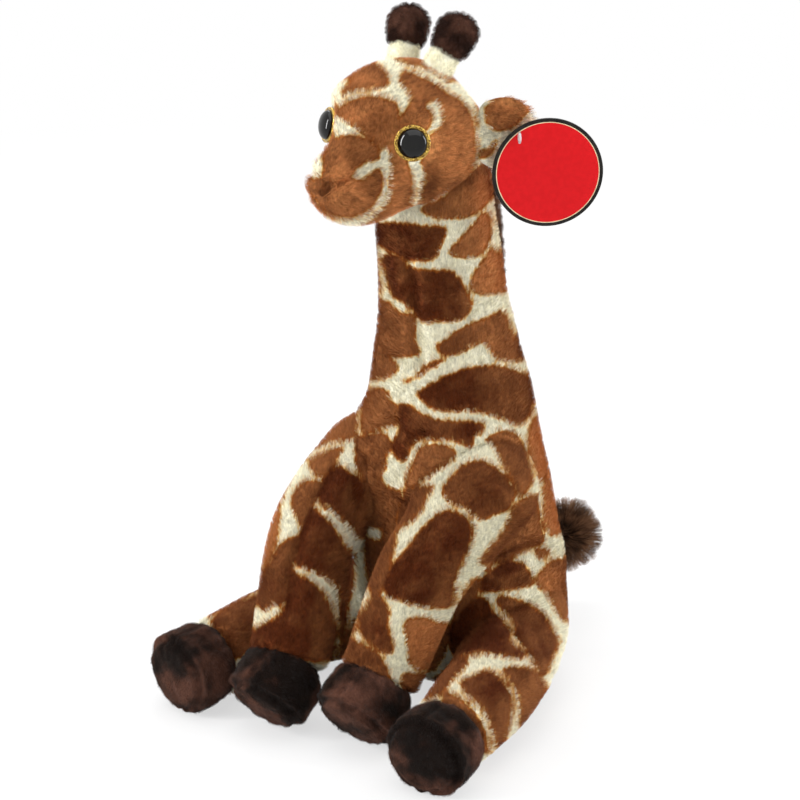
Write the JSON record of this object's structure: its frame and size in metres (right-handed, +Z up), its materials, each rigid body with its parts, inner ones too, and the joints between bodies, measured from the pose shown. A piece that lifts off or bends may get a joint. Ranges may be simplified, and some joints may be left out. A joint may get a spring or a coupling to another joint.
{
  "type": "plush giraffe",
  "caption": "Seated plush giraffe with a long neck, patched short pile, dark hooves, knobbed ossicones, a tufted tail, glittery safety eyes and a plain round swing tag.",
  "frame": {"origin": "middle of the seat's flat underside, on the floor", "axes": "+Z up, the face looks toward -Y, the giraffe's left side is toward +X"},
  "size_m": [0.1741, 0.2205, 0.312],
  "materials": {
    "patched_plush": "short pile printed with brown patches on cream",
    "cream_plush": "short cream pile",
    "brown_plush": "short dark brown pile",
    "dark_plush": "short shiny dark brown pile",
    "long_pile": "longer dark brown pile",
    "black_plastic": "polished",
    "gold_glitter": "gold glitter under a clear coat",
    "white_plastic": "plain",
    "red_card": "coated card with a dark edge",
    "clear_plastic": "clear nylon"
  },
  "bodies": {
    "torso": {"torso": "patched_plush"},
    "neck": {"neck": "patched_plush", "mane": "long_pile"},
    "head": {"head": "patched_plush", "ossicone_stem_left": "cream_plush", "ossicone_stem_right": "cream_plush", "ossicone_knob_left": "brown_plush", "ossicone_knob_right": "brown_plush", "eye_pupil_left": "black_plastic", "eye_pupil_right": "black_plastic", "eye_iris_left": "gold_glitter", "eye_iris_right": "gold_glitter", "eye_washer_left": "white_plastic", "eye_washer_right": "white_plastic"},
    "ear_left": {"ear_left": "patched_plush", "tag_pin": "clear_plastic"},
    "ear_right": {"ear_right": "patched_plush"},
    "swing_tag": {"swing_tag": "red_card"},
    "tail": {"tail_stem": "long_pile", "tail_tuft": "long_pile"},
    "front_leg_left": {"front_leg_left": "patched_plush", "front_hoof_left": "dark_plush"},
    "front_leg_right": {"front_leg_right": "patched_plush", "front_hoof_right": "dark_plush"},
    "hind_leg_left": {"hind_leg_left": "patched_plush", "hind_hoof_left": "dark_plush"},
    "hind_leg_right": {"hind_leg_right": "patched_plush", "hind_hoof_right": "dark_plush"}
  },
  "joints": [
    {"name": "neck_bend", "type": "hinge", "parent": "torso", "child": "neck", "pos_m": [0, -0.01799, 0.16487], "axis": [1, 0, 0], "range_deg": [-12, 12], "stiffness_Nm_per_rad": 0.8},
    {"name": "head_turn", "type": "hinge", "parent": "neck", "child": "head", "pos_m": [0, -0.031, 0.255], "axis": [0, 0, 1], "range_deg": [-25, 25], "stiffness_Nm_per_rad": 0.3},
    {"name": "ear_left_flap", "type": "hinge", "parent": "head", "child": "ear_left", "pos_m": [0.02828, -0.02655, 0.26257], "axis": [0, 0, 1], "range_deg": [-15, 15], "stiffness_Nm_per_rad": 0.02},
    {"name": "ear_right_flap", "type": "hinge", "parent": "head", "child": "ear_right", "pos_m": [-0.02828, -0.02655, 0.26257], "axis": [0, 0, 1], "range_deg": [-15, 15], "stiffness_Nm_per_rad": 0.02},
    {"name": "tag_swing", "type": "hinge", "parent": "ear_left", "child": "swing_tag", "pos_m": [0.0373, -0.01688, 0.26175], "axis": [0.7071, -0.7071, 0], "range_deg": [0, 60]},
    {"name": "tail_wag", "type": "hinge", "parent": "torso", "child": "tail", "pos_m": [0, 0.0386, 0.03458], "axis": [0, 0, 1], "range_deg": [-30, 30], "stiffness_Nm_per_rad": 0.05},
    {"name": "front_leg_left_raise", "type": "hinge", "parent": "torso", "child": "front_leg_left", "pos_m": [0.036, -0.02995, 0.1034], "axis": [-1, 0, 0], "range_deg": [-3, 50], "stiffness_Nm_per_rad": 0.5},
    {"name": "front_leg_right_raise", "type": "hinge", "parent": "torso", "child": "front_leg_right", "pos_m": [-0.036, -0.02995, 0.0994], "axis": [-1, 0, 0], "range_deg": [-3, 50], "stiffness_Nm_per_rad": 0.5},
    {"name": "hind_leg_left_raise", "type": "hinge", "parent": "torso", "child": "hind_leg_left", "pos_m": [0.0345, -0.008, 0.026], "axis": [-1, 0, 0], "range_deg": [-15, 8], "stiffness_Nm_per_rad": 0.5},
    {"name": "hind_leg_right_raise", "type": "hinge", "parent": "torso", "child": "hind_leg_right", "pos_m": [-0.0345, -0.008, 0.026], "axis": [-1, 0, 0], "range_deg": [-15, 8], "stiffness_Nm_per_rad": 0.5}
  ]
}
